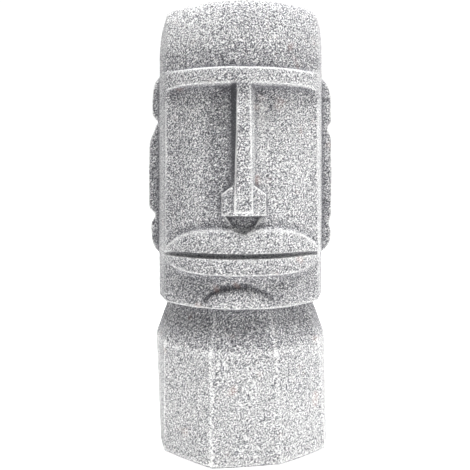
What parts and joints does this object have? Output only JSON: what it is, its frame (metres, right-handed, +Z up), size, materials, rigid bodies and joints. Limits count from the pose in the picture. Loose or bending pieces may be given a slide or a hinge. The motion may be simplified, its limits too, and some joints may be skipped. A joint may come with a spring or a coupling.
{
  "type": "statue planter",
  "caption": "Tall stone-effect planter: a traditional carved head with heavy brow, long nose and wide lips on a faceted block, hollow from its open top down to the floor.",
  "frame": {"origin": "middle of the bounding box on the flat underside, which stands on the ground", "axes": "+Z up, the face looks along -Y, +X is the viewer's right when facing it"},
  "size_m": [0.2631, 0.261, 0.606],
  "materials": {
    "cast_stone": "matte granular cast surface, mid grey dry-brushed with off-white"
  },
  "bodies": {
    "root": {"head_planter": "cast_stone"}
  },
  "joints": []
}
